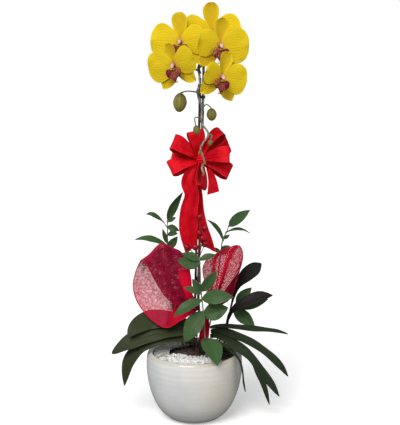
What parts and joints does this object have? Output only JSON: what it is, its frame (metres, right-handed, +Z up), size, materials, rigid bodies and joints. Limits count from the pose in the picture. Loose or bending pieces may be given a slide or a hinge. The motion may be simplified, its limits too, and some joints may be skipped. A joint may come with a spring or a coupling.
{
  "type": "potted orchid",
  "caption": "Arching moth orchid on a stake in a round glazed pot, with a ribbon bow, berries, mesh fans and filler leaves; stands on a flat foot.",
  "frame": {"origin": "centre of the pot's flat foot, on the surface that it stands on", "axes": "+Z up, -Y towards the front that the flowers face, +X to the right seen from the front"},
  "size_m": [0.3259, 0.1804, 0.75],
  "materials": {
    "glaze": "pearl white glaze, glossy, faintly mottled",
    "bark": "dark bark and soil mix, rough",
    "nursery_plastic": "thin dark plastic",
    "gravel": "white crushed stone chips",
    "moss": "dry grey-white fibrous moss",
    "orchid_leaf": "waxy dark green leaf with olive and purple-brown tints",
    "dark_leaf": "nearly black burgundy leaf, soft sheen",
    "foliage": "fresh green leaf, soft gloss, paler veins",
    "stem": "grey-brown flower spike with nodes",
    "stake": "dark coated rod",
    "petal": "bright yellow petal with fine veins, paler edge",
    "lip": "magenta lip with stripes and a pale pink column",
    "bud": "olive green closed bud with faint ribs",
    "ribbon": "bright red satin ribbon",
    "berry": "glossy cherry red",
    "mesh": "see-through dark red woven mesh with a solid edge"
  },
  "bodies": {
    "root": {"berry_pick": "berry", "bow_knot": "ribbon", "bow_loop_1": "ribbon", "bow_loop_2": "ribbon", "bow_loop_3": "ribbon", "bow_loop_4": "ribbon", "bow_loop_5": "ribbon", "bow_loop_6": "ribbon", "bow_loop_7": "ribbon", "bow_loop_8": "ribbon", "bow_loop_9": "ribbon", "bud_1": "bud", "bud_2": "bud", "bud_3": "bud", "bud_4": "bud", "dark_leaf_lower": "dark_leaf", "dark_leaf_upper": "dark_leaf", "flower_1_lip": "lip", "flower_1_petals": "petal", "flower_1_sepals": "petal", "flower_2_lip": "lip", "flower_2_petals": "petal", "flower_2_sepals": "petal", "flower_3_lip": "lip", "flower_3_petals": "petal", "flower_3_sepals": "petal", "flower_4_lip": "lip", "flower_4_petals": "petal", "flower_4_sepals": "petal", "flower_5_lip": "lip", "flower_5_petals": "petal", "flower_5_sepals": "petal", "flower_spike": "stem", "grey_moss": "moss", "growing_medium": "bark", "mesh_fan_left": "mesh", "mesh_fan_right": "mesh", "mesh_tail": "mesh", "nursery_pot": "nursery_plastic", "orchid_crown": "orchid_leaf", "orchid_leaf_left_1": "orchid_leaf", "orchid_leaf_left_2": "orchid_leaf", "orchid_leaf_left_3": "orchid_leaf", "orchid_leaf_right_1": "orchid_leaf", "orchid_leaf_right_2": "orchid_leaf", "orchid_leaf_right_3": "orchid_leaf", "orchid_leaf_right_4": "orchid_leaf", "orchid_leaf_right_5": "orchid_leaf", "pot": "glaze", "pot_filler": "bark", "ribbon_tail_back": "ribbon", "ribbon_tail_left": "ribbon", "ribbon_tail_short": "ribbon", "sprig_centre": "foliage", "sprig_lower_right": "foliage", "sprig_upper_left": "foliage", "sprig_upper_right": "foliage", "stake": "stake", "stake_clip": "stake", "white_gravel": "gravel"}
  },
  "joints": []
}
